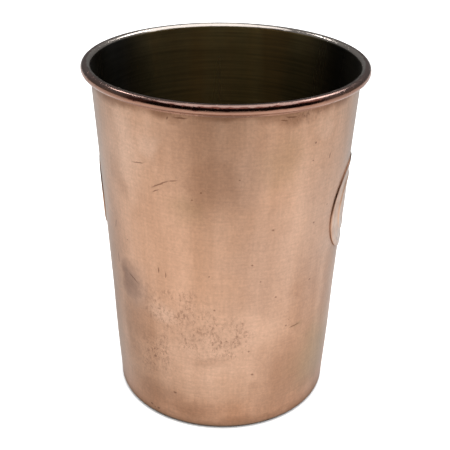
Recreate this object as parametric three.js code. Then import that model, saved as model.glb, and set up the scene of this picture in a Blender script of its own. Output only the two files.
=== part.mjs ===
// A tapered copper cup with a rolled rim, a white-metal lining and two round medallions on its wall.
// Millimetres, +Z up. The origin is the middle of the base, on the surface that the cup stands on.
import * as THREE from 'three';

// Outside of the cup
const cupHeight = 110;
const rimRadius = 42.5;
const wallBaseRadius = 34.5;
const wallHollow = 0.17;
const bellyReach = 0.17;
const bellyHeight = 40;

// Rolled rim: a curl of the copper sheet round a wire
const beadDiameter = 3;
const wireClearance = 0.2;
const curlClearance = 0.15;

// Base: a standing ring with a raised middle
const recessRadius = 29;
const recessDepth = 0.8;
const recessSlopeWidth = 1.5;

// Sheets
const copperThickness = 0.45;
const liningThickness = 0.3;
const liningClearance = 0.2;
const liningCornerRadius = 0.4;
const liningLipAngle = 30;

// Medallions: round plates bent to the wall, with a raised border and one plain raised ring
const medallionRadius = 14.8;
const medallionThickness = 0.25;
const medallionClearance = 0.2;
const medallionBorderWidth = 1.8;
const medallionFieldDepth = 0.1;
const medallionRingRadius = 8.4;
const medallionRingWidth = 0.9;
const medallionEdgeChamfer = 0.1;
const medallionHeight = 68;
const rightMedallionAzimuth = -10.8;
const leftMedallionAzimuth = rightMedallionAzimuth + 180;

// Facet counts
const cupSides = 60;
const wallRows = 8;
const cornerSteps = 3;
const curlStepsPerQuarter = 3;
const wireSides = 8;
const medallionSides = 36;
const medallionBackSteps = 4;

// Sizes that follow from the ones above
const beadRadius = beadDiameter / 2;
const beadCentreRadius = rimRadius - beadRadius;
const beadCentreHeight = cupHeight - beadRadius;
const neckRadius = rimRadius - beadDiameter + copperThickness;
const footCornerRadius = liningCornerRadius + liningThickness + liningClearance + copperThickness;
const liningOffset = copperThickness + liningClearance;
const wireRadius = beadRadius - copperThickness - wireClearance;

// The lathe profiles are lists of points (radius, height).
function arc(centreRadius, centreHeight, radius, fromDegrees, toDegrees, steps) {
  const points = [];
  for (let step = 0; step <= steps; step += 1) {
    const angle = THREE.MathUtils.degToRad(THREE.MathUtils.lerp(fromDegrees, toDegrees, step / steps));
    points.push(new THREE.Vector2(
      centreRadius + radius * Math.cos(angle),
      centreHeight + radius * Math.sin(angle),
    ));
  }
  return points;
}

function aroundBead(radius, fromDegrees, toDegrees, steps) {
  return arc(beadCentreRadius, beadCentreHeight, radius, fromDegrees, toDegrees, steps);
}

// Outside radius of the copper wall at a height: a taper that bows in a little, above a slight low belly.
function wallRadius(height) {
  const share = (height - footCornerRadius) / (beadCentreHeight - footCornerRadius);
  const taper = THREE.MathUtils.lerp(wallBaseRadius, neckRadius, share);
  const bellyShare = Math.min(height / bellyHeight, 1);
  const belly = bellyReach * Math.sin(Math.PI * bellyShare) ** 2;
  return taper - 4 * wallHollow * share * (1 - share) + belly;
}

// The copper's outside, from the middle of the base to the level of the bead's centre.
function outsideProfile() {
  const base = [
    new THREE.Vector2(0, recessDepth),
    new THREE.Vector2(recessRadius - recessSlopeWidth, recessDepth),
    new THREE.Vector2(recessRadius, 0),
  ];
  const cornerCentre = wallBaseRadius - footCornerRadius;
  const corner = arc(cornerCentre, footCornerRadius, footCornerRadius, -90, 0, cornerSteps);
  const wall = [];
  for (let row = 1; row <= wallRows; row += 1) {
    const height = THREE.MathUtils.lerp(footCornerRadius, beadCentreHeight, row / wallRows);
    wall.push(new THREE.Vector2(wallRadius(height), height));
  }
  return [...base, ...corner, ...wall];
}

// The same line moved into the sheet by a distance, square to it, with its ends kept straight.
function movedInwards(profile, distance) {
  const sideways = profile.slice(1).map((point, index) => {
    const along = point.clone().sub(profile[index]).normalize();
    return new THREE.Vector2(-along.y, along.x);
  });
  const last = profile.length - 1;
  return profile.map((point, index) => {
    if (index === 0) {
      return new THREE.Vector2(point.x, point.y + distance);
    }
    if (index === last) {
      return new THREE.Vector2(point.x - distance, point.y);
    }
    const before = sideways[index - 1];
    const after = sideways[index];
    const bisector = before.clone().add(after).normalize();
    return point.clone().addScaledVector(bisector, distance / bisector.dot(before));
  });
}

// A solid of revolution about +Z. The profile starts and ends on the axis.
function turned(profile, sides) {
  const geometry = new THREE.LatheGeometry(profile, sides);
  geometry.rotateX(Math.PI / 2);
  return geometry;
}

function material(colour, roughness) {
  return new THREE.MeshStandardMaterial({ color: colour, roughness, metalness: 1 });
}

function namedMesh(name, geometry, finish) {
  const mesh = new THREE.Mesh(geometry, finish);
  mesh.name = name;
  return mesh;
}

// One copper sheet: base, wall, and the curl that rolls outwards over the wire and back to the wall.
function copperBody() {
  const outside = outsideProfile();
  const inside = movedInwards(outside, copperThickness).reverse();
  const curlReach = beadCentreRadius - neckRadius - curlClearance;
  const curlEnd = THREE.MathUtils.radToDeg(Math.acos(curlReach / beadRadius)) - 180;
  const curlInside = [
    ...aroundBead(beadRadius - copperThickness, 180, 0, 2 * curlStepsPerQuarter).slice(1),
    ...aroundBead(beadRadius - copperThickness, 0, curlEnd, curlStepsPerQuarter).slice(1),
  ];
  const curlOutside = [
    ...aroundBead(beadRadius, curlEnd, 0, curlStepsPerQuarter),
    ...aroundBead(beadRadius, 0, 180, 2 * curlStepsPerQuarter).slice(1, -1),
  ];
  const profile = [...outside, ...curlInside, ...curlOutside, ...inside];
  return namedMesh('copper_body', turned(profile, cupSides), material(0xb98060, 0.35));
}

// The wire inside the curl.
function rimWire() {
  const geometry = new THREE.TorusGeometry(beadCentreRadius, wireRadius, wireSides, cupSides);
  const mesh = namedMesh('rim_wire', geometry, material(0x8a8a88, 0.4));
  mesh.position.z = beadCentreHeight;
  return mesh;
}

// The lining: a thin cup inside the copper one, whose lip leans on the inner side of the bead.
function innerLining() {
  const outside = outsideProfile();
  const back = movedInwards(outside, liningOffset);
  const front = movedInwards(outside, liningOffset + liningThickness).reverse();
  const lipBack = beadRadius + liningClearance;
  const lipFront = lipBack + liningThickness;
  const lipEnd = 180 - liningLipAngle;
  const lip = [
    ...aroundBead(lipBack, 180, lipEnd, cornerSteps).slice(1),
    ...aroundBead(lipFront, lipEnd, 180, cornerSteps).slice(0, -1),
  ];
  const profile = [...back, ...lip, ...front];
  return namedMesh('inner_lining', turned(profile, cupSides), material(0x6f6a60, 0.4));
}

// The medallion's cross-section, out along its back and in over its front: (distance from middle, height).
function medallionProfile() {
  const top = medallionClearance + medallionThickness;
  const field = top - medallionFieldDepth;
  const borderInside = medallionRadius - medallionBorderWidth;
  const ringOutside = medallionRingRadius + medallionRingWidth / 2;
  const ringInside = medallionRingRadius - medallionRingWidth / 2;
  const fieldMiddle = (ringOutside + borderInside) / 2;
  const back = [];
  for (let step = 0; step <= medallionBackSteps; step += 1) {
    back.push([medallionRadius * step / medallionBackSteps, medallionClearance]);
  }
  const front = [
    [medallionRadius, top - medallionEdgeChamfer],
    [medallionRadius - medallionEdgeChamfer, top],
    [borderInside, top],
    [borderInside - medallionFieldDepth, field],
    [fieldMiddle, field],
    [ringOutside + medallionFieldDepth, field],
    [ringOutside, top],
    [ringInside, top],
    [ringInside - medallionFieldDepth, field],
    [ringInside / 2, field],
    [0, field],
  ];
  return [...back, ...front].map(([distance, height]) => new THREE.Vector2(distance, height));
}

// The flat medallion bent round the wall, and then turned to its azimuth.
function medallion(name, azimuth) {
  const geometry = new THREE.LatheGeometry(medallionProfile(), medallionSides);
  const positions = geometry.attributes.position;
  for (let index = 0; index < positions.count; index += 1) {
    const around = positions.getZ(index) / wallRadius(medallionHeight);
    const level = medallionHeight + positions.getX(index);
    const radius = wallRadius(level) + positions.getY(index);
    positions.setXYZ(index, radius * Math.cos(around), radius * Math.sin(around), level);
  }
  geometry.computeVertexNormals();
  const mesh = namedMesh(name, geometry, material(0xb58367, 0.35));
  mesh.rotation.z = THREE.MathUtils.degToRad(azimuth);
  return mesh;
}

const cup = new THREE.Group();
cup.add(copperBody());
cup.add(rimWire());
cup.add(innerLining());
cup.add(medallion('medallion_right', rightMedallionAzimuth));
cup.add(medallion('medallion_left', leftMedallionAzimuth));

export default cup;
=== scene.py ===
from math import acos, atan2, cos, degrees, pi, radians, sin

import bpy
from mathutils import Matrix, Vector


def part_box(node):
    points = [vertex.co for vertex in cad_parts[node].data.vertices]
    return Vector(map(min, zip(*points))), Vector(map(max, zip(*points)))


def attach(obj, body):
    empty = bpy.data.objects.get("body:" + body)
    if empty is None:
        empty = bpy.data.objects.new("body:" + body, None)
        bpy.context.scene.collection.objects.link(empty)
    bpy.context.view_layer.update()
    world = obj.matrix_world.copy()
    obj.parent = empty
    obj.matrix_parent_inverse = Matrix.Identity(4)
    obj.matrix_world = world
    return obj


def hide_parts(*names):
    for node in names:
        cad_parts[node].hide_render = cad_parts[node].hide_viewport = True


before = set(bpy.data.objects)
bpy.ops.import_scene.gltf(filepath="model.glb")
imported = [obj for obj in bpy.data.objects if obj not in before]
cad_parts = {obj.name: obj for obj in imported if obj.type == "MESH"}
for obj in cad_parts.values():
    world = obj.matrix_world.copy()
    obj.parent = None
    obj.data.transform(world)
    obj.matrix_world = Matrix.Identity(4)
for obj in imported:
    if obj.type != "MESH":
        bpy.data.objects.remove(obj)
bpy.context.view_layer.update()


# The camera stands where the photographer did: a quarter of a metre in front of the cup's middle, a hand
# above its rim, looking down on it by 27 degrees and held very nearly level. The photograph is square.
mm = 0.001
photo_size = 450
focal_length_pixels = 869.6
sensor_width = 36
camera_place = (0, -249.7 * mm, 183.5 * mm)
camera_downwards = radians(27.29)
camera_to_the_right = radians(0.1)
camera_roll = radians(0.89)
nearest_view = 10 * mm

camera_turn = (
    Matrix.Rotation(-camera_to_the_right, 3, "Z")
    @ Matrix.Rotation(pi / 2 - camera_downwards, 3, "X")
    @ Matrix.Rotation(camera_roll, 3, "Z")
)
bpy.ops.object.select_all(action="DESELECT")
bpy.ops.object.camera_add(location=camera_place, rotation=camera_turn.to_euler())
camera = bpy.context.object
camera.data.sensor_width = sensor_width
camera.data.lens = sensor_width * focal_length_pixels / photo_size
camera.data.clip_start = nearest_view
bpy.context.scene.camera = camera


# The copper cup itself is one disc of sheet copper, spun on a lathe into a tapered wall with a raised middle
# in its base and a small foot edge. Its mouth is rolled outwards over a wire into a bead, which is polished.
# The wall is brushed round and round, and has been handled: it has tarnish, scratches and small pits.
cup_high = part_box("copper_body")[1]
rim_radius = cup_high.x
cup_height = cup_high.z
wall_base_radius = 34.5 * mm
wall_hollow = 0.17 * mm
belly_reach = 0.17 * mm
belly_height = 40 * mm
copper_thickness = 0.45 * mm
bead_diameter = 3 * mm
curl_clearance = 0.15 * mm
foot_corner_radius = 1.35 * mm
recess_radius = 29 * mm
recess_depth = 0.8 * mm
recess_slope_width = 1.5 * mm

bead_radius = bead_diameter / 2
bead_centre_radius = rim_radius - bead_radius
bead_centre_height = cup_height - bead_radius
neck_radius = rim_radius - bead_diameter + copper_thickness


def wall_radius(height):
    """The copper wall's outside radius: a taper that bows in a little, above a slight low belly."""
    share = (height - foot_corner_radius) / (bead_centre_height - foot_corner_radius)
    taper = wall_base_radius + (neck_radius - wall_base_radius) * share
    belly = belly_reach * sin(pi * min(height / belly_height, 1)) ** 2
    return taper - 4 * wall_hollow * share * (1 - share) + belly


def arc(centre, radius, start, end, steps):
    """Points (radius, height) on a round stretch of an outline, from one angle to the other in degrees."""
    angles = [radians(start + (end - start) * step / steps) for step in range(steps + 1)]
    return [(centre[0] + radius * cos(a), centre[1] + radius * sin(a)) for a in angles]


def around_bead(radius, start, end, steps):
    return arc((bead_centre_radius, bead_centre_height), radius, start, end, steps)


def offset(outline, distance):
    """The outline moved into the sheet by a distance, square to it. Its ends stay on the axis and level."""
    moved = [(outline[0][0], outline[0][1] + distance)]
    for before, here, after in zip(outline, outline[1:], outline[2:]):
        along = (Vector(here) - Vector(before)).normalized() + (Vector(after) - Vector(here)).normalized()
        along.normalize()
        moved.append((here[0] - along.y * distance, here[1] + along.x * distance))
    moved.append((outline[-1][0] - distance, outline[-1][1]))
    return moved


def eased(start, end, value):
    """0 before the start, 1 after the end, and a soft S between them."""
    share = min(max((value - start) / (end - start), 0), 1)
    return share * share * (3 - 2 * share)


def outside_outline(middle_rings=8, slope_steps=8, corner_steps=10, wall_rows=44):
    """The copper's outside, from the middle of the base up to the level of the bead's centre."""
    slope_start = recess_radius - recess_slope_width
    base = [(slope_start * ring / middle_rings, recess_depth) for ring in range(middle_rings)]
    for step in range(slope_steps + 1):
        share = step / slope_steps
        base.append((slope_start + recess_slope_width * share, recess_depth * (1 - eased(0, 1, share))))
    corner_centre = (wall_base_radius - foot_corner_radius, foot_corner_radius)
    corner = arc(corner_centre, foot_corner_radius, -90, 0, corner_steps)
    wall = []
    for row in range(1, wall_rows + 1):
        height = foot_corner_radius + (bead_centre_height - foot_corner_radius) * row / wall_rows
        wall.append((wall_radius(height), height))
    return base + corner + wall


def spin(name, outline, sides=256):
    """Draws an outline of (radius, height) points from axis to axis, and spins it all the way round."""
    same_place = 0.002 * mm
    sharpest_smooth_edge = radians(40)
    bpy.ops.object.select_all(action="DESELECT")
    bpy.ops.mesh.primitive_plane_add(size=mm)
    piece = bpy.context.object
    piece.name = piece.data.name = name
    bpy.ops.object.mode_set(mode="EDIT")
    bpy.ops.mesh.merge(type="CENTER")
    start = Vector((outline[0][0], 0, outline[0][1]))
    bpy.ops.transform.translate(value=start)
    for before, after in zip(outline, outline[1:]):
        step = (after[0] - before[0], 0, after[1] - before[1])
        bpy.ops.mesh.extrude_vertices_move(TRANSFORM_OT_translate={"value": step})
    bpy.ops.mesh.select_all(action="SELECT")
    bpy.ops.mesh.spin(steps=sides, angle=2 * pi, center=(0, 0, 0), axis=(0, 0, 1))
    bpy.ops.mesh.select_all(action="SELECT")
    bpy.ops.mesh.remove_doubles(threshold=same_place)
    bpy.ops.mesh.normals_make_consistent(inside=False)
    bpy.ops.object.mode_set(mode="OBJECT")
    bpy.ops.object.shade_smooth_by_angle(angle=sharpest_smooth_edge)
    return piece


curl_reach = bead_centre_radius - neck_radius - curl_clearance
curl_end = degrees(acos(curl_reach / bead_radius)) - 180
curl_inner_steps = 30
curl_outer_steps = 48
copper_outside = outside_outline()
copper_outline = (
    copper_outside
    + around_bead(bead_radius - copper_thickness, 180, curl_end, curl_inner_steps)[1:]
    + around_bead(bead_radius, curl_end, 180, curl_outer_steps)[:-1]
    + offset(copper_outside, copper_thickness)[::-1]
)
copper_cup = spin("copper_cup", copper_outline)


def linear(hex_colour):
    """A colour as it is written for a screen, turned into the light values that Blender reckons with."""
    channels = [int(hex_colour[i:i + 2], 16) / 255 for i in (1, 3, 5)]
    light = [c / 12.92 if c <= 0.04045 else ((c + 0.055) / 1.055) ** 2.4 for c in channels]
    return (*light, 1)


def add_node(tree, kind, inputs=None, **settings):
    """Adds one shader node with its settings. An input is given by its name or number, as a value, as another
    node's output, or as another node, which then gives the first of its outputs that is in use."""
    node = tree.nodes.new("ShaderNode" + kind)
    for name, value in settings.items():
        setattr(node, name, value)
    for name, value in (inputs or {}).items():
        if isinstance(value, bpy.types.Node):
            value = next(output for output in value.outputs if output.enabled)
        if isinstance(value, bpy.types.NodeSocket):
            tree.links.new(value, node.inputs[name])
        else:
            node.inputs[name].default_value = value
    return node


def start_material(name):
    """A new material without nodes, and the tree that its nodes go in."""
    material = bpy.data.materials.new(name)
    material.use_nodes = True
    material.node_tree.nodes.clear()
    return material, material.node_tree


def place_in_mm(tree):
    """Where a point is on the cup, in millimetres from the middle of its base."""
    place = add_node(tree, "TexCoord").outputs["Object"]
    return add_node(tree, "VectorMath", {0: place, "Scale": 1 / mm}, operation="SCALE")


# Copper sheet, brushed round and round with a fine abrasive and then handled for years. The brushing smears
# every reflection up and down, so the wall has soft upright bands. The tarnish is browner and duller, and a
# film of oxide greys and dims the copper where it is seen at a slant.
bright_copper = "#D8AC8F"
rosy_copper = "#CB9E80"
rubbed_and_highlight_copper = "#F0CBB2"
foot_shade_red = "#C67A4C"
tarnish_and_shade_brown = "#8A5A3A"
olive_tarnish = "#A98A68"
grey_bloom = "#AE9A90"
scratch_and_shade_brown = "#6E4632"
oxide_edge = "#E1F5FF"
brushed_copper, tree = start_material("brushed_copper")
place = place_in_mm(tree)


def drifted(tree, place, grain, reach):
    """The place moved about by an uneven noise, so that what is drawn there has no ruled edges."""
    reaches = (reach, reach, reach)
    noise = add_node(tree, "TexNoise", {"Vector": place, "Scale": 1 / grain, "Detail": 3}).outputs["Color"]
    sway = add_node(tree, "VectorMath", {0: noise, 1: (0.5, 0.5, 0.5)}, operation="SUBTRACT")
    return add_node(tree, "VectorMath", {0: sway, 1: reaches, 2: place}, operation="MULTIPLY_ADD")


def mark(tree, place, azimuth, height, length, width, tilt=0):
    """How far a point is from a mark on the wall: 0 in the mark's middle, 1 at its border."""
    depth = 50
    radius = wall_radius(height * mm) / mm
    middle = (radius * cos(radians(azimuth)), radius * sin(radians(azimuth)), height)
    turn = Matrix.Rotation(radians(azimuth + 90), 3, "Z") @ Matrix.Rotation(-radians(tilt), 3, "Y")
    away = add_node(tree, "VectorMath", {0: place, 1: middle}, operation="SUBTRACT")
    shares = {}
    for axis, reach in enumerate((length / 2, depth, width / 2)):
        ruler = turn.col[axis] / reach
        shares[axis] = add_node(tree, "VectorMath", {0: away, 1: ruler}, operation="DOT_PRODUCT")
    share = add_node(tree, "CombineXYZ", shares)
    return add_node(tree, "VectorMath", {0: share}, operation="LENGTH")


# Stains and rubbed patches, in degrees and millimetres: azimuth from +X, height of the middle, length round
# the wall, width up it and tilt. The last number is how strong it is, from 0 to 1.
# Some brown stains are painted shade. The two wide ones high on the front, at azimuths -96 and -95, paint the
# dark room's reflection. Those at heights 105 and 106 paint the shade of the crease under the bead together
# with dirt. The long low band at height 2 paints the contact shade at the foot. The rest are real stains.
brown_stains_and_shade = [
    (-96, 97, 38, 52, 0, 0.18), (-95, 87, 20, 32, 0, 0.34), (-140, 48, 17, 20, 0, 0.55),
    (-143, 34, 11, 44, 0, 0.25), (-142, 53, 7, 3, -20, 0.3), (-61, 102.8, 14, 9, 0, 0.42),
    (-107, 105, 9, 4, 0, 0.4), (-126, 10, 24, 14, 0, 0.25), (-66, 105, 7, 1.6, -10, 0.45),
    (-78, 2, 70, 5, 0, 0.2), (-53, 47, 4, 3, 0, 0.25), (-46, 11, 22, 12, 0, 0.2),
    (-45, 38, 26, 62, 0, 0.2), (-150, 58, 18, 66, 0, 0.22), (-97, 26, 18, 9, 0, 0.25),
    (-107, 7, 22, 9, 0, 0.3), (-74, 15, 7, 12, 0, 0.2), (-142, 84, 9, 20, 0, 0.2),
    (-27, 46, 16, 62, 0, 0.3), (-66, 105, 26, 7, 0, 0.35), (-107, 105, 14, 7, 0, 0.4),
    (-75, 106, 20, 3, 0, 0.35), (-134, 38, 18, 30, 0, 0.2), (-58, 20, 28, 40, 10, 0.34),
    (-104, 35, 34, 22, -15, 0.12), (95, 66, 22, 30, 15, 0.25), (52, 20, 20, 14, 0, 0.3),
]
# The rubbed patches are partly rubbed copper and partly painted reflection. The tall ones at azimuths -134,
# -122 and -54 paint bright upright reflection bands, and the wide one at -88 paints the lit floor's
# reflection low on the front.
rubbed_and_highlight_patches = [
    (-122, 96, 12, 16, 0, 0.5), (-134, 94, 22, 42, 0, 0.5), (-118, 41, 14, 12, 20, 0.4),
    (-88, 30, 46, 44, 0, 0.4), (-54, 78, 20, 58, 0, 0.25), (-47, 100, 9, 13, 0, 0.35),
]
olive_stains = [
    (-34, 21, 30, 36, 0, 0.6), (-50, 36, 9, 2, 14, 0.4), (-104, 78, 16, 12, 0, 0.3),
    (-66, 92, 20, 18, 0, 0.3),
]
grey_stains = [
    (-68, 58, 34, 62, 0, 0.24), (-46, 66, 24, 70, 0, 0.24), (-80, 86, 20, 30, 0, 0.15),
    (-136, 47, 18, 22, 0, 0.3),
]
smudged = drifted(tree, place, grain=9, reach=12)


def stained(stains):
    """How much a point is stained, from 0 to 1. Where stains overlap, the strongest one counts."""
    faded_out = 1.1
    full = 0.15
    strongest = 0.0
    for azimuth, height, length, width, tilt, strength in stains:
        distance = mark(tree, smudged, azimuth, height, length, width, tilt)
        # Map Range takes its value as input 0, the range that it comes from as 1 and 2, and the one that it
        # goes to as 3 and 4. Mix, further down, takes its share as 0 and its two colours as 6 and 7.
        amount = add_node(tree, "MapRange", {
            0: distance, 1: faded_out, 2: full, 3: 0, 4: strength,
        }, interpolation_type="SMOOTHSTEP")
        strongest = add_node(tree, "Math", {0: amount, 1: strongest}, operation="MAXIMUM")
    return strongest


brown_and_shade = stained(brown_stains_and_shade)
olive = stained(olive_stains)
rubbed_and_highlight = stained(rubbed_and_highlight_patches)
bloomed = stained(grey_stains)

# Old tarnish lies all over in soft clouds of a centimetre or two, twice as tall as they are wide.
cloud_width = 13
cloud_place = add_node(tree, "Mapping", {"Vector": smudged, "Scale": (1, 1, 0.5)})
clouds = add_node(tree, "TexNoise", {
    "Vector": cloud_place, "Scale": 1 / cloud_width, "Detail": 5, "Roughness": 0.6,
})
cloudy = add_node(tree, "MapRange", {0: clouds, 1: 0.45, 2: 0.75, 3: 0, 4: 0.13})
brown_and_shade = add_node(tree, "Math", {0: brown_and_shade, 1: cloudy}, operation="ADD")

# Dirt and polish have gathered in the corner under the bead, where no cloth reaches. The band is also
# painted shade of the crease under the bead.
grime_and_shade_starts = 103.2
grime_and_shade_full = 106.4
smudged_height = add_node(tree, "SeparateXYZ", {0: smudged}).outputs["Z"]
wall_height = add_node(tree, "SeparateXYZ", {0: place}).outputs["Z"]
uneven = add_node(tree, "Math", {0: smudged_height, 1: wall_height}, operation="SUBTRACT")
ragged_crease_height = add_node(tree, "Math", {0: uneven, 1: 0.5, 2: wall_height}, operation="MULTIPLY_ADD")
grime_and_shade = add_node(tree, "MapRange", {
    0: ragged_crease_height, 1: grime_and_shade_starts, 2: grime_and_shade_full, 3: 0, 4: 0.6,
}, interpolation_type="SMOOTHSTEP")
brown_and_shade = add_node(tree, "Math", {0: brown_and_shade, 1: grime_and_shade}, operation="MAXIMUM")

# A thin dark line round each medallion on the wall is partly dirt in the joint and partly painted shade
# under the medallion's edge, and it is weaker low down. The wall is round, so a medallion is a little
# narrower straight across than along the wall.
medallion_radius = 14.8 * mm
medallion_height = 68 * mm
medallion_azimuths = {"medallion_right": -10.8, "medallion_left": 169.2}
medallion_width_across = 1.95 * medallion_radius
line_strength_by_height = add_node(tree, "MapRange", {0: wall_height, 1: 60, 2: 74, 3: 0.12, 4: 0.35})
for azimuth in medallion_azimuths.values():
    sizes = (medallion_width_across / mm, 2 * medallion_radius / mm)
    to_medallion = mark(tree, place, azimuth, medallion_height / mm, *sizes)
    dirt_and_shade_line = add_node(tree, "MapRange", {0: to_medallion, 1: 1.06, 2: 1.01, 3: 0, 4: line_strength_by_height})
    brown_and_shade = add_node(tree, "Math", {0: brown_and_shade, 1: dirt_and_shade_line}, operation="MAXIMUM")

# The sheet shows upright bands: each is a little lighter or rosier than the next.
band_width = 9
band_place = add_node(tree, "Mapping", {"Vector": place, "Scale": (1, 1, 0.1)})
bands = add_node(tree, "TexNoise", {"Vector": band_place, "Scale": 1 / band_width, "Detail": 3})
banded = add_node(tree, "MapRange", {0: bands, 1: 0.35, 2: 0.65})
colour = add_node(tree, "Mix", {
    0: banded, 6: linear(bright_copper), 7: linear(rosy_copper),
}, data_type="RGBA")

# Near the foot the copper is painted darker and redder: painted shade for the floor's contact shadow seen
# in it. A painted highlight runs along the rounded foot edge.
foot_highlight_top = 1.4
foot_highlight_full = 0.6
foot_shade_top = 16
foot_shade_full = 3
painted_foot_highlight = add_node(tree, "MapRange", {
    0: wall_height, 1: foot_highlight_top, 2: foot_highlight_full, 3: 0, 4: 0.9,
}, interpolation_type="SMOOTHSTEP")
painted_foot_shade = add_node(tree, "MapRange", {
    0: smudged_height, 1: foot_shade_top, 2: foot_shade_full, 3: 0, 4: 0.2,
}, interpolation_type="SMOOTHSTEP")
tints = [
    (painted_foot_shade, foot_shade_red), (rubbed_and_highlight, rubbed_and_highlight_copper), (brown_and_shade, tarnish_and_shade_brown), (olive, olive_tarnish),
    (bloomed, grey_bloom), (painted_foot_highlight, rubbed_and_highlight_copper),
]
for amount, tint in tints:
    colour = add_node(tree, "Mix", {0: amount, 6: colour, 7: linear(tint)}, data_type="RGBA")

# The brushing runs round the cup. Real lines are a tenth of a millimetre wide: these are drawn 0.6 mm wide,
# because finer ones don't show in the render. Handling has crossed them with grains and upright rubs, which
# are drawn as coarse for the same reason.
line_width = 0.6
grain_size = 0.8
rub_width = 0.7
line_place = add_node(tree, "Mapping", {"Vector": place, "Scale": (0.09, 0.09, 1)})
lines = add_node(tree, "TexNoise", {"Vector": line_place, "Scale": 1 / line_width, "Detail": 2})
brushing = add_node(tree, "MapRange", {0: lines, 1: 0.3, 2: 0.7, 3: 0.955, 4: 1.045})
grains = add_node(tree, "TexNoise", {"Vector": place, "Scale": 1 / grain_size, "Detail": 2, "Roughness": 0.7})
grainy = add_node(tree, "MapRange", {0: grains, 1: 0.3, 2: 0.7, 3: 0.92, 4: 1.08})
rub_place = add_node(tree, "Mapping", {"Vector": place, "Scale": (1, 1, 0.12)})
rubs = add_node(tree, "TexNoise", {"Vector": rub_place, "Scale": 1 / rub_width, "Detail": 2})
handled = add_node(tree, "MapRange", {0: rubs, 1: 0.3, 2: 0.7, 3: 0.965, 4: 1.035})
for shading in (brushing, grainy, handled):
    colour = add_node(tree, "Mix", {0: 1.0, 6: colour, 7: shading}, data_type="RGBA", blend_type="MULTIPLY")


def nearest_mark(tree, place, marks):
    """How far a point is from the nearest of several marks: 0 in a mark's middle, 1 at its border."""
    far_away = 9.0
    nearest = far_away
    for azimuth, height, length, width, tilt in marks:
        distance = mark(tree, place, azimuth, height, length, width, tilt)
        nearest = add_node(tree, "Math", {0: distance, 1: nearest}, operation="MINIMUM")
    return nearest


# Acid or damp has etched three patches low on the wall and two under the bead into small dark pits. The pits
# are a little taller than wide, and they lie in clusters.
etched_patches = [
    (-107, 39, 36, 24, -22), (-86, 34, 16, 20, -10), (-126, 25, 20, 18, 20),
    (-57, 104, 12, 7, 20), (-107, 105, 8, 4, 0),
]
pit_size = 0.8
cluster_size = 4
etched = nearest_mark(tree, smudged, etched_patches)
etched_here = add_node(tree, "MapRange", {0: etched, 1: 1.2, 2: 0.3}, interpolation_type="SMOOTHSTEP")
pit_place = add_node(tree, "Mapping", {"Vector": place, "Scale": (1, 1, 0.6)})
pits = add_node(tree, "TexNoise", {"Vector": pit_place, "Scale": 1 / pit_size, "Detail": 4, "Roughness": 0.8})
pitted = add_node(tree, "MapRange", {0: pits, 1: 0.46, 2: 0.68})
clusters = add_node(tree, "TexNoise", {
    "Vector": place, "Scale": 1 / cluster_size, "Detail": 4, "Roughness": 0.7,
})
clustered = add_node(tree, "MapRange", {0: clusters, 1: 0.4, 2: 0.62, 3: 0.1, 4: 1})
pitting = add_node(tree, "Math", {0: pitted, 1: etched_here}, operation="MULTIPLY")
pitting = add_node(tree, "Math", {0: pitting, 1: clustered}, operation="MULTIPLY")

# Scratches, given like the stains, and specks: azimuth, height and size. Dirt in them makes them dark. They
# are drawn wider than they are, because they wouldn't show otherwise.
scratches = [
    (-116.8, 84.7, 6.6, 0.5, 29), (-111, 86.5, 2.8, 0.4, 14), (-119.4, 82.3, 2.4, 0.35, 27),
    (-127.8, 89.4, 4.8, 0.35, 12), (-106.9, 105.1, 3.8, 0.5, 3), (-112.3, 104.6, 1, 0.4, 80),
    (-64.4, 105, 3.4, 0.6, -9), (-67.1, 104.3, 2.2, 0.4, -12), (-41.1, 90.2, 1.8, 0.4, 85),
    (-149.4, 52.8, 4, 0.45, 87), (-120.1, 56.2, 2.2, 0.5, 88), (-116.5, 55.2, 2, 0.4, 85),
    (-137, 49.4, 5, 0.6, -25), (-52.5, 35.6, 4.5, 0.5, 5), (-148.5, 64.9, 3.4, 0.5, 70),
    (74, 58, 9, 0.45, 24), (112, 81, 4, 0.4, -10), (128, 33, 5, 0.5, 65), (48, 96, 3.5, 0.5, 4),
    (30, 44, 6, 0.4, -32),
]
specks = [
    (-99.3, 83.9, 0.9), (-103.1, 81.4, 0.7), (-51.2, 95.9, 0.9), (-51.5, 90.6, 0.7), (-68.6, 71.4, 1),
    (-47, 70.3, 1), (-38.6, 74.2, 0.7), (-93.6, 45.5, 0.9), (-77.2, 60.7, 0.9), (-73, 54.7, 0.7),
    (-64.9, 48.4, 0.9), (-45.5, 50.5, 1), (-56.5, 38.7, 0.7), (-57.9, 36.7, 1), (-76.9, 30, 0.9),
    (-74.7, 21.1, 1.2), (-130.2, 3.2, 1.6), (-125.4, 2.7, 1.4), (-114.2, 12, 1.4), (-128, 2.5, 0.8),
    (-139, 62, 0.7), (-96, 57, 0.7), (-84, 88, 0.6),
]
speck_marks = [(azimuth, height, 0.8 * size, 0.6 * size, 0) for azimuth, height, size in specks]
scuffed = drifted(tree, place, grain=1.5, reach=0.6)
to_scratch = nearest_mark(tree, scuffed, scratches + speck_marks)
scratched = add_node(tree, "MapRange", {
    0: to_scratch, 1: 1.3, 2: 0.5, 3: 0, 4: 0.75,
}, interpolation_type="SMOOTHSTEP")
for amount, strength in ((pitting, 1.0), (scratched, 0.85)):
    share = add_node(tree, "Math", {0: amount, 1: strength}, operation="MULTIPLY")
    colour = add_node(tree, "Mix", {0: share, 6: colour, 7: linear(scratch_and_shade_brown)}, data_type="RGBA")

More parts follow.
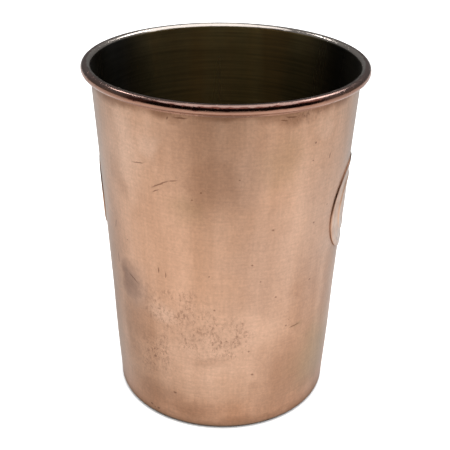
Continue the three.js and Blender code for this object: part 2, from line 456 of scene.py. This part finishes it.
line_depth = 0.006 * mm
bump = add_node(tree, "Bump", {"Height": lines, "Strength": 0.2, "Distance": line_depth})
duller = add_node(tree, "MapRange", {0: brown_and_shade, 1: 0, 2: 0.6, 3: 0.37, 4: 0.47})
roughness = add_node(tree, "Math", {0: lines, 1: 0.06, 2: duller}, operation="MULTIPLY_ADD")
around = add_node(tree, "Tangent", direction_type="RADIAL", axis="Z")
shader = add_node(tree, "BsdfPrincipled", {
    "Base Color": colour,
    "Metallic": 1,
    "Roughness": roughness,
    "Normal": bump,
    "Anisotropic": 0.6,
    "Anisotropic Rotation": 0.25,
    "Tangent": around,
    "Specular Tint": linear(oxide_edge),
})
add_node(tree, "OutputMaterial", {"Surface": shader})
copper_cup.data.materials.append(brushed_copper)

# The bead is polished by hands and lips. Tin from the lining was wiped over its top and wears away on its
# outer shoulder, so it is grey above and copper below, with soft nicks and a slight waviness of the roll.
wiped_tin = "#BDB4AC"
thin_tin = "#8A7068"
clear_copper = "#B48A76"
hazy_copper = "#906856"
painted_dark_red = "#4E2018"
polished_copper, tree = start_material("polished_copper")
place = place_in_mm(tree)
flat_place = add_node(tree, "VectorMath", {0: place, 1: (1, 1, 0)}, operation="MULTIPLY")
from_axis = add_node(tree, "VectorMath", {0: flat_place}, operation="LENGTH")
height = add_node(tree, "SeparateXYZ", {0: place}).outputs["Z"]
outwards = add_node(tree, "Math", {0: from_axis, 1: bead_centre_radius / mm}, operation="SUBTRACT")
upwards = add_node(tree, "Math", {0: height, 1: bead_centre_height / mm}, operation="SUBTRACT")
# The place round the bead is an angle: straight out is 0 and straight up is a quarter turn. A ragged noise is
# added to it, so that no coat ends in a ruled line. Each coat starts at its angle plus these two.
shoulder = add_node(tree, "Math", {0: upwards, 1: outwards}, operation="ARCTAN2")
ragged_size = 2.5
ragged_start = 0.3
ragged_end = 0.55
tin_starts = radians(31)
tin_thick = radians(100)
ragged = add_node(tree, "TexNoise", {"Vector": place, "Scale": 1 / ragged_size, "Detail": 4})
edge = add_node(tree, "Math", {0: ragged, 1: 0.8, 2: shoulder}, operation="MULTIPLY_ADD")
tinned = add_node(tree, "MapRange", {
    0: edge, 1: tin_starts + ragged_start, 2: tin_starts + ragged_end,
}, interpolation_type="SMOOTHSTEP")
thick = add_node(tree, "MapRange", {
    0: edge, 1: tin_thick + ragged_start, 2: tin_thick + ragged_end,
}, interpolation_type="SMOOTHSTEP")
haze_size = 6
haze = add_node(tree, "TexNoise", {"Vector": place, "Scale": 1 / haze_size, "Detail": 4, "Roughness": 0.6})
worn = add_node(tree, "Mix", {0: haze, 6: linear(clear_copper), 7: linear(hazy_copper)}, data_type="RGBA")
tin = add_node(tree, "Mix", {0: thick, 6: linear(thin_tin), 7: linear(wiped_tin)}, data_type="RGBA")
colour = add_node(tree, "Mix", {0: tinned, 6: worn, 7: tin}, data_type="RGBA")

# On the side that faces the camera, a band of dark red is painted along the edge of the tin. It is painted
# shade that stands in for the dark room in front, reflected in the bead.
dark_band_front_starts = -31
dark_band_front_full = -35
low = add_node(tree, "MapRange", {0: edge, 1: 0.35, 2: 0.6}, interpolation_type="SMOOTHSTEP")
high = add_node(tree, "MapRange", {0: edge, 1: 1.1, 2: 1.3, 3: 0.85, 4: 0}, interpolation_type="SMOOTHSTEP")
forwards = add_node(tree, "SeparateXYZ", {0: place}).outputs["Y"]
one_side = add_node(tree, "MapRange", {
    0: forwards, 1: dark_band_front_starts, 2: dark_band_front_full,
}, interpolation_type="SMOOTHSTEP")
painted_dark_band = add_node(tree, "Math", {0: low, 1: high}, operation="MULTIPLY")
painted_dark_band = add_node(tree, "Math", {0: painted_dark_band, 1: one_side}, operation="MULTIPLY")
colour = add_node(tree, "Mix", {0: painted_dark_band, 6: colour, 7: linear(painted_dark_red)}, data_type="RGBA")

# The roll waves by a tenth of a millimetre at most, and a cup that is stacked and dropped gets soft nicks.
wave_length = 9
nick_size = 0.9
waves = add_node(tree, "TexNoise", {"Vector": place, "Scale": 1 / wave_length, "Detail": 1})
nicks = add_node(tree, "TexNoise", {"Vector": place, "Scale": 1 / nick_size, "Detail": 3})
nicked = add_node(tree, "MapRange", {0: nicks, 1: 0.6, 2: 0.75, 3: 0, 4: 0.045})
relief = add_node(tree, "Math", {0: waves, 1: 0.25, 2: nicked}, operation="MULTIPLY_ADD")
bump = add_node(tree, "Bump", {"Height": relief, "Strength": 1, "Distance": mm})
roughness = add_node(tree, "MapRange", {0: haze, 1: 0.3, 2: 0.7, 3: 0.12, 4: 0.24})
shader = add_node(tree, "BsdfPrincipled", {
    "Base Color": colour,
    "Metallic": 1,
    "Roughness": roughness,
    "Normal": bump,
})
add_node(tree, "OutputMaterial", {"Surface": shader})
copper_cup.data.materials.append(polished_copper)

# The outer skin of the curl is polished, and the rest of the sheet is brushed. The skin is found by how far
# a face is from the bead's centre.
inside_the_skin = 0.9 * bead_radius
for face in copper_cup.data.polygons:
    middle = Vector((face.center.xy.length - bead_centre_radius, face.center.z - bead_centre_height))
    face.material_index = int(middle.length > inside_the_skin and middle.y > -bead_radius)
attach(copper_cup, "root")
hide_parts("copper_body")


# The wire in the bead is a ring of drawn steel wire that stiffens the mouth. The copper is rolled round it,
# so it can't be seen. Its CAD shape is right and stays, with a material: grey metal, dulled in small patches.
pale_steel = "#B4B4B2"
dull_steel = "#8C8A86"
dull_patch_size = 1.5
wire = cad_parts["rim_wire"]
drawn_wire, tree = start_material("drawn_steel_wire")
place = place_in_mm(tree)
drawn = add_node(tree, "TexNoise", {
    "Vector": place, "Scale": 1 / dull_patch_size, "Detail": 4, "Roughness": 0.7,
})
colour = add_node(tree, "Mix", {0: drawn, 6: linear(pale_steel), 7: linear(dull_steel)}, data_type="RGBA")
roughness = add_node(tree, "MapRange", {0: drawn, 3: 0.3, 4: 0.5})
bump = add_node(tree, "Bump", {"Height": drawn, "Strength": 0.3, "Distance": 0.02 * mm})
shader = add_node(tree, "BsdfPrincipled", {
    "Base Color": colour,
    "Metallic": 1,
    "Roughness": roughness,
    "Normal": bump,
})
add_node(tree, "OutputMaterial", {"Surface": shader})
wire.data.materials.clear()
wire.data.materials.append(drawn_wire)


# The lining is a coat of tin on the inside of the copper, wiped on hot and darkened since. It covers the
# floor and the wall, and laps thinly over the top of the bead. Below the bead it is drawn as thick as its
# CAD solid.
lining_offset = 0.65 * mm
lining_thickness = 0.3 * mm
lap_gap = 0.02 * mm
lap_thickness = 0.03 * mm
lap_end_angle = 106
lap_steps = 16
lap_starts = bead_centre_height - 3 * mm

lining_back = [p for p in offset(copper_outside, lining_offset) if p[1] < lap_starts]
lining_front = [p for p in offset(copper_outside, lining_offset + lining_thickness) if p[1] < lap_starts]
lap_back = around_bead(bead_radius + lap_gap, 180, lap_end_angle, lap_steps)
lap_front = around_bead(bead_radius + lap_gap + lap_thickness, lap_end_angle, 180, lap_steps)
lining = spin("tin_lining", lining_back + lap_back + lap_front + lining_front[::-1])

# Old tin has upright olive and brown stains where liquid ran down, and fine rings from the scouring, which
# smear reflections up and down. The real rings are too fine to show, so they are drawn 0.7 mm apart.
olive_tin = "#988A60"
brown_tin = "#7F6840"
painted_shade_black = "#434340"
run_width = 12
ring_spacing = 0.7
dark_tin, tree = start_material("dark_tin")
place = place_in_mm(tree)
run_place = add_node(tree, "Mapping", {"Vector": place, "Scale": (1, 1, 0.07)})
runs = add_node(tree, "TexNoise", {"Vector": run_place, "Scale": 1 / run_width, "Detail": 2})
stain = add_node(tree, "MapRange", {0: runs, 1: 0.35, 2: 0.65})
colour = add_node(tree, "Mix", {0: stain, 6: linear(olive_tin), 7: linear(brown_tin)}, data_type="RGBA")

# Its two sides are painted nearly black, a painted shade, and a band a little right of its middle is painted
# paler, a painted light.
blackest_from = 36
clear_within = 22
black_sides_middle = 1
pale_middle = 14
pale_within = 3
pale_ends = 9
across = add_node(tree, "SeparateXYZ", {0: place}).outputs["X"]
to_middle = add_node(tree, "Math", {0: across, 1: black_sides_middle}, operation="SUBTRACT")
to_middle = add_node(tree, "Math", {0: to_middle}, operation="ABSOLUTE")
painted_dark_sides = add_node(tree, "MapRange", {
    0: to_middle, 1: clear_within, 2: blackest_from,
}, interpolation_type="SMOOTHSTEP")
to_pale = add_node(tree, "Math", {0: across, 1: pale_middle}, operation="SUBTRACT")
to_pale = add_node(tree, "Math", {0: to_pale}, operation="ABSOLUTE")
painted_light_band = add_node(tree, "MapRange", {
    0: to_pale, 1: pale_ends, 2: pale_within, 3: 1.06, 4: 1.4,
}, interpolation_type="SMOOTHSTEP")
ring_place = add_node(tree, "Mapping", {"Vector": place, "Scale": (0.03, 0.03, 1)})
rings = add_node(tree, "TexNoise", {"Vector": ring_place, "Scale": 1 / ring_spacing, "Detail": 2})
scoured = add_node(tree, "MapRange", {0: rings, 1: 0.3, 2: 0.7, 3: 0.8, 4: 1.2})
shading = add_node(tree, "Math", {0: scoured, 1: painted_light_band}, operation="MULTIPLY")
colour = add_node(tree, "Mix", {0: painted_dark_sides, 6: colour, 7: linear(painted_shade_black)}, data_type="RGBA")
colour = add_node(tree, "Mix", {0: 1.0, 6: colour, 7: shading}, data_type="RGBA", blend_type="MULTIPLY")
dull = add_node(tree, "MapRange", {0: runs, 1: 0.3, 2: 0.7, 3: 0.24, 4: 0.36})
bump = add_node(tree, "Bump", {"Height": rings, "Strength": 0.3, "Distance": 0.02 * mm})
around = add_node(tree, "Tangent", direction_type="RADIAL", axis="Z")
shader = add_node(tree, "BsdfPrincipled", {
    "Base Color": colour,
    "Metallic": 1,
    "Roughness": dull,
    "Normal": bump,
    "Anisotropic": 0.6,
    "Anisotropic Rotation": 0.25,
    "Tangent": around,
})
add_node(tree, "OutputMaterial", {"Surface": shader})
lining.data.materials.append(dark_tin)

# Where the tin laps over the bead, lips and cloths have rubbed it as bright as the bead itself.
rubbed_above = bead_centre_height + bead_radius * sin(radians(25))
lining.data.materials.append(polished_copper)
for face in lining.data.polygons:
    face.material_index = int(face.center.z > rubbed_above)
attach(lining, "root")
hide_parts("inner_lining")


# Two round medallions of thin copper sheet stand opposite each other on the wall. Each was pressed in a die,
# with a raised border, one raised ring and a slightly domed middle, then bent to the wall and soldered on.
medallion_gap = 0.03 * mm
medallion_field = 0.16 * mm
medallion_relief = 0.24 * mm
medallion_border_width = 1.8 * mm
medallion_ring_radius = 8.4 * mm
medallion_ring_width = 0.9 * mm
medallion_slope_width = 0.5 * mm
medallion_dome = 0.12 * mm
medallion_edge_round = 0.25 * mm


def medallion_front(distance):
    """How high the front stands above the wall at a distance from the medallion's middle."""
    border_inside = medallion_radius - medallion_border_width
    ring_outside = medallion_ring_radius + medallion_ring_width / 2
    ring_inside = medallion_ring_radius - medallion_ring_width / 2
    border = eased(border_inside - medallion_slope_width, border_inside, distance)
    ring = eased(ring_inside - medallion_slope_width, ring_inside, distance)
    ring *= 1 - eased(ring_outside, ring_outside + medallion_slope_width, distance)
    dome = medallion_dome * (1 - min(distance / ring_inside, 1) ** 2)
    return medallion_field + medallion_relief * max(border, ring) + dome


def medallion_outline(front_steps=90, edge_steps=6, back_steps=12):
    """The medallion's cross-section from the middle of its front, over the edge and back under it."""
    flat = medallion_radius - medallion_edge_round
    distances = [flat * step / front_steps for step in range(front_steps)]
    front = [(distance, medallion_front(distance)) for distance in distances]
    top = medallion_field + medallion_relief
    front += arc((flat, top - medallion_edge_round), medallion_edge_round, 90, 0, edge_steps)
    back = [(medallion_radius * step / back_steps, medallion_gap) for step in range(back_steps, -1, -1)]
    return front + back


# Worn copper, pressed in a die and rubbed by hands, so it is smooth and bright, with small clouds of tarnish.
medallion_cloud_size = 4
die_grain_size = 0.5
worn_copper, tree = start_material("worn_copper")
place = place_in_mm(tree)
clouds = add_node(tree, "TexNoise", {
    "Vector": place, "Scale": 1 / medallion_cloud_size, "Detail": 5, "Roughness": 0.6,
})
cloudy = add_node(tree, "MapRange", {0: clouds, 1: 0.4, 2: 0.7, 3: 0, 4: 0.35})
colour = add_node(tree, "Mix", {
    0: cloudy, 6: linear(bright_copper), 7: linear(tarnish_and_shade_brown),
}, data_type="RGBA")

# The outer edge and the step inside the border are darkened, partly by dirt and partly by painted shade
# at the edge and in the step. The distance from the medallion's middle is found the same way for both,
# because they stand opposite each other.
edge_dark_starts = medallion_radius / mm - 0.7
edge_dark_full = medallion_radius / mm - 0.2
step_middle = (medallion_radius - medallion_border_width - medallion_slope_width) / mm
facing = radians(medallion_azimuths["medallion_right"])
round_the_wall = (-sin(facing), cos(facing), 0)
to_side = add_node(tree, "VectorMath", {0: place, 1: round_the_wall}, operation="DOT_PRODUCT")
height = add_node(tree, "SeparateXYZ", {0: place}).outputs["Z"]
above = add_node(tree, "Math", {0: height, 1: medallion_height / mm}, operation="SUBTRACT")
from_middle = add_node(tree, "CombineXYZ", {0: to_side, 1: above})
from_middle = add_node(tree, "VectorMath", {0: from_middle}, operation="LENGTH")
edge_dirt_and_shade = add_node(tree, "MapRange", {0: from_middle, 1: edge_dark_starts, 2: edge_dark_full, 3: 0, 4: 0.7})
step_dirt_and_shade = add_node(tree, "Math", {
    0: from_middle, 1: step_middle, 2: medallion_slope_width / mm,
}, operation="COMPARE")
step_dirt_and_shade = add_node(tree, "Math", {0: step_dirt_and_shade, 1: 0.45}, operation="MULTIPLY")
dirt_and_shade = add_node(tree, "Math", {0: edge_dirt_and_shade, 1: step_dirt_and_shade}, operation="MAXIMUM")

# The painted shade is weaker on the lower half, whose edge faces the lit floor, than on the upper half.
lightest_below = -8
darkest_above = 6
darker_above = add_node(tree, "MapRange", {0: above, 1: lightest_below, 2: darkest_above, 3: 0.25, 4: 1})
dirt_and_shade = add_node(tree, "Math", {0: dirt_and_shade, 1: darker_above}, operation="MULTIPLY")
colour = add_node(tree, "Mix", {0: dirt_and_shade, 6: colour, 7: linear(scratch_and_shade_brown)}, data_type="RGBA")
roughness = add_node(tree, "MapRange", {0: clouds, 1: 0.3, 2: 0.7, 3: 0.28, 4: 0.42})
grain = add_node(tree, "TexNoise", {"Vector": place, "Scale": 1 / die_grain_size, "Detail": 2})
bump = add_node(tree, "Bump", {"Height": grain, "Strength": 0.2, "Distance": 0.03 * mm})
around = add_node(tree, "Tangent", direction_type="RADIAL", axis="Z")
shader = add_node(tree, "BsdfPrincipled", {
    "Base Color": colour,
    "Metallic": 1,
    "Roughness": roughness,
    "Normal": bump,
    "Anisotropic": 0.5,
    "Anisotropic Rotation": 0.25,
    "Tangent": around,
    "Specular Tint": linear(oxide_edge),
})
add_node(tree, "OutputMaterial", {"Surface": shader})

wall_here = wall_radius(medallion_height)
wall_slope = (wall_radius(medallion_height + mm) - wall_radius(medallion_height - mm)) / (2 * mm)
for node_name, azimuth in medallion_azimuths.items():
    medallion = spin("copper_" + node_name, medallion_outline(), sides=96)
    medallion.rotation_euler.x = radians(90)
    bpy.ops.object.transform_apply(location=True, rotation=True, scale=True)
    bend = medallion.modifiers.new("bend to the wall", "SIMPLE_DEFORM")
    bend.deform_method = "BEND"
    bend.deform_axis = "Z"
    bend.angle = 2 * medallion_radius / wall_here
    bpy.ops.object.modifier_apply(modifier=bend.name)
    lean = Matrix.Rotation(atan2(wall_slope, 1), 4, "X")
    move = Matrix.Translation((0, -wall_here, medallion_height))
    turn = Matrix.Rotation(radians(azimuth + 90), 4, "Z")
    medallion.matrix_world = turn @ move @ lean
    bpy.ops.object.transform_apply(location=True, rotation=True, scale=True)
    medallion.data.materials.append(worn_copper)
    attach(medallion, "root")
    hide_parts(node_name)


# The floor is a plain table top, covered with white paper. It shows white to the camera and in the metal, and
# keeps the cup's shadow. To the camera it glows a little, up to the thin dark line under the cup's foot.
floor_size = 4
paper_white = (0.8, 0.8, 0.8, 1)
paper_glow = 0.45
dark_line_inside = 34.4 * mm
dark_line_outside = 35 * mm
bpy.ops.object.select_all(action="DESELECT")
bpy.ops.mesh.primitive_plane_add(size=floor_size)
floor = bpy.context.object
floor.name = "floor"
white_floor, tree = start_material("white_floor")
path = add_node(tree, "LightPath")
matt = add_node(tree, "BsdfDiffuse", {"Color": paper_white})
place = add_node(tree, "TexCoord").outputs["Object"]
to_foot = add_node(tree, "VectorMath", {0: place}, operation="LENGTH")
outside_foot = add_node(tree, "MapRange", {
    0: to_foot, 1: dark_line_inside, 2: dark_line_outside, 3: 0, 4: paper_glow,
})
lift = add_node(tree, "Math", {0: path.outputs["Is Camera Ray"], 1: outside_foot}, operation="MULTIPLY")
glow = add_node(tree, "Emission", {"Strength": lift})
table_top = add_node(tree, "AddShader", {0: matt, 1: glow})

# In the metal the paper's brightness is that of four round patches, multiplied: the light of the lamps, the
# photographer's shadow in front, the cup's own soft shadow behind it, and the dark line under its foot. Each
# has its middle, the distances between which it changes, and its brightness within and beyond them.
patches = [
    ((0, -0.1, 0), 0.08, 0.38, 1.32, 0.85),
    ((0, -0.33, 0), 0.07, 0.23, 0.42, 1),
    ((-0.02, 0.03, 0), 0.06, 0.11, 0.58, 1),
    ((0, 0, 0), 0.0342, 0.0371, 0, 1),
]
brightness = 1.0
for middle, near, far, within, beyond in patches:
    distance = add_node(tree, "VectorMath", {0: place, 1: middle}, operation="DISTANCE")
    patch = add_node(tree, "MapRange", {
        0: distance, 1: near, 2: far, 3: within, 4: beyond,
    }, interpolation_type="SMOOTHSTEP")
    brightness = add_node(tree, "Math", {0: brightness, 1: patch}, operation="MULTIPLY")
in_metal = add_node(tree, "Emission", {"Strength": brightness})
reflected = add_node(tree, "Math", {
    0: path.outputs["Is Glossy Ray"], 1: path.outputs["Is Transmission Ray"],
}, operation="MAXIMUM")
seen = add_node(tree, "MixShader", {0: reflected, 1: table_top, 2: in_metal})
add_node(tree, "OutputMaterial", {"Surface": seen})
floor.data.materials.append(white_floor)


# The photographer's side of the room is dark: a black cloth hangs in an arc round the front of the table.
# Only the polished and brushed metal sees it.
cloth_black = (0.012, 0.012, 0.012, 1)
cloth_radius = 0.33
cloth_low = 0.05
cloth_high = 0.42
cloth_middle = radians(5)
cloth_half = radians(66)
cloth_sides = 96
bpy.ops.object.select_all(action="DESELECT")
bpy.ops.mesh.primitive_cylinder_add(
    vertices=cloth_sides,
    radius=cloth_radius,
    depth=cloth_high - cloth_low,
    end_fill_type="NOTHING",
    location=(0, 0, (cloth_high + cloth_low) / 2),
)
cloth = bpy.context.object
cloth.name = "black_cloth"
bpy.ops.object.transform_apply(location=True, rotation=True, scale=True)
bpy.ops.object.mode_set(mode="EDIT")
bpy.ops.mesh.select_all(action="SELECT")
towards_cloth = Vector((sin(cloth_middle), -cos(cloth_middle), 0))
cut = towards_cloth * cloth_radius * cos(cloth_half)
bpy.ops.mesh.bisect(plane_co=cut, plane_no=towards_cloth, clear_inner=True)
bpy.ops.object.mode_set(mode="OBJECT")
black_cloth, tree = start_material("black_cloth")
matt = add_node(tree, "BsdfDiffuse", {"Color": cloth_black})
add_node(tree, "OutputMaterial", {"Surface": matt})
cloth.data.materials.append(black_cloth)
cloth.visible_camera = False
cloth.visible_shadow = False
cloth.visible_diffuse = False


# Soft light comes from a large softbox over the cup, a little in front of it, and from two small ones behind
# it, to the left and right. The small ones make the bright streaks on the bead.
lamps_face = (0, 0, 60 * mm)


def softbox(name, place, size, strength):
    """A rectangular lamp that faces the cup. Its strength is how bright it looks: 1 is white."""
    light = bpy.data.lights.new(name, "AREA")
    light.shape = "RECTANGLE"
    light.size, light.size_y = size
    light.energy = strength * pi * size[0] * size[1]
    holder = bpy.data.objects.new(name, light)
    holder.location = place
    holder.rotation_euler = (Vector(lamps_face) - Vector(place)).to_track_quat("-Z", "Y").to_euler()
    bpy.context.scene.collection.objects.link(holder)


softbox("overhead_softbox", (0.1, -0.12, 0.6), (0.8, 0.86), 1.7)
softbox("left_softbox", (-0.36, 0.3, 0.6), (0.12, 0.12), 9)
softbox("right_softbox", (0.36, 0.27, 0.6), (0.24, 0.2), 5.5)


# The room beyond the lamps is white to the camera and to matt surfaces. In the metal it is a dim grey, which
# gets a little lighter towards the ceiling.
grey_at_the_floor = 0.14
grey_overhead = 0.28
world = bpy.data.worlds.new("pale_studio")
bpy.context.scene.world = world
world.use_nodes = True
tree = world.node_tree
tree.nodes.clear()
direction = add_node(tree, "TexCoord").outputs["Generated"]
upwards = add_node(tree, "SeparateXYZ", {0: direction}).outputs["Z"]
dim = add_node(tree, "MapRange", {0: upwards, 1: 0, 2: 0.9, 3: grey_at_the_floor, 4: grey_overhead})
path = add_node(tree, "LightPath")
grey = add_node(tree, "Mix", {0: path.outputs["Is Glossy Ray"], 2: 1.0, 3: dim}, data_type="FLOAT")
sky = add_node(tree, "Background", {"Color": (1, 1, 1, 1), "Strength": grey})
add_node(tree, "OutputWorld", {"Surface": sky})
bpy.context.scene.view_settings.view_transform = "Standard"
